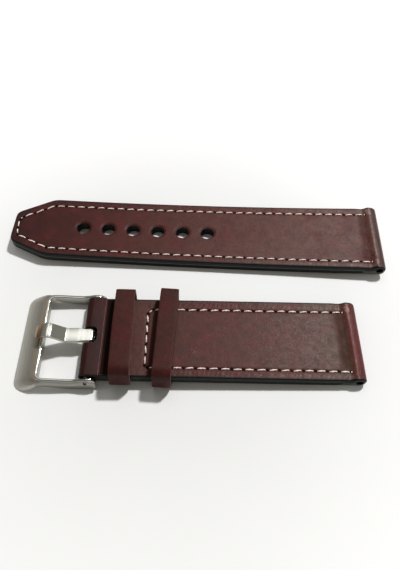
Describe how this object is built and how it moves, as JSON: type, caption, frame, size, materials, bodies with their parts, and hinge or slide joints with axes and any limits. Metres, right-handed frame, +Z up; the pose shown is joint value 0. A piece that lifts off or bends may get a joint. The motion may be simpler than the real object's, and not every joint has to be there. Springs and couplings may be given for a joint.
{
  "type": "leather watch strap",
  "caption": "Two-piece leather watch strap in two sewn layers, with a pin buckle on a spring bar, a fixed and a free keeper, punched adjustment holes and lug tunnels.",
  "frame": {"origin": "middle of the space that both halves cover, on the surface that they lie on", "axes": "+X along the halves towards their lug ends, +Y from the buckle half to the tail half, +Z up, out of the grain side"},
  "size_m": [0.116, 0.0648, 0.0088],
  "materials": {
    "grain_leather": "waxed, satin",
    "lining_leather": "smooth, matte",
    "keeper_leather": "waxed, satin",
    "thread": "waxed thread",
    "buckle_steel": "brushed, with a polished lip",
    "tongue_steel": "fine brushed",
    "spring_bar_steel": "drawn"
  },
  "bodies": {
    "buckle_half": {"buckle_half_top_leather": "grain_leather", "buckle_half_lining": "lining_leather", "buckle_half_top_thread": "thread", "buckle_half_lining_thread": "thread", "fixed_keeper": "keeper_leather", "spring_bar_tube": "spring_bar_steel", "spring_bar_coil": "spring_bar_steel"},
    "tail_half": {"tail_top_leather": "grain_leather", "tail_lining": "lining_leather", "tail_top_thread": "thread", "tail_lining_thread": "thread"},
    "free_keeper": {"free_keeper": "keeper_leather"},
    "buckle_frame": {"buckle_frame": "buckle_steel"},
    "buckle_tongue": {"buckle_tongue": "tongue_steel"},
    "plunger_front": {"spring_bar_plunger_front": "spring_bar_steel"},
    "plunger_back": {"spring_bar_plunger_back": "spring_bar_steel"}
  },
  "joints": [
    {"name": "buckle_swing", "type": "hinge", "parent": "buckle_half", "child": "buckle_frame", "pos_m": [-0.02924, -0.01778, 0.00336], "axis": [0, 1, 0], "range_deg": [-70, 20]},
    {"name": "tongue_swing", "type": "hinge", "parent": "buckle_frame", "child": "buckle_tongue", "pos_m": [-0.02924, -0.01778, 0.00336], "axis": [0, 1, 0], "range_deg": [-5.2, 85]},
    {"name": "keeper_slide", "type": "slide", "parent": "buckle_half", "child": "free_keeper", "axis": [0.9998, 0, -0.0193], "range_m": [-0.005, 0.05]},
    {"name": "plunger_front_push", "type": "slide", "parent": "buckle_half", "child": "plunger_front", "axis": [0, 1, 0], "range_m": [0, 0.0014], "stiffness_N_per_m": 600, "springref_m": -0.001, "deforming": ["spring_bar_coil"]},
    {"name": "plunger_back_push", "type": "slide", "parent": "buckle_half", "child": "plunger_back", "axis": [0, -1, 0], "range_m": [0, 0.0014], "stiffness_N_per_m": 600, "springref_m": -0.001, "deforming": ["spring_bar_coil"]},
    {"name": "tail_half_shift", "type": "slide", "parent": "buckle_half", "child": "tail_half", "axis": [0, 1, 0], "range_m": [0, 0.03]}
  ]
}
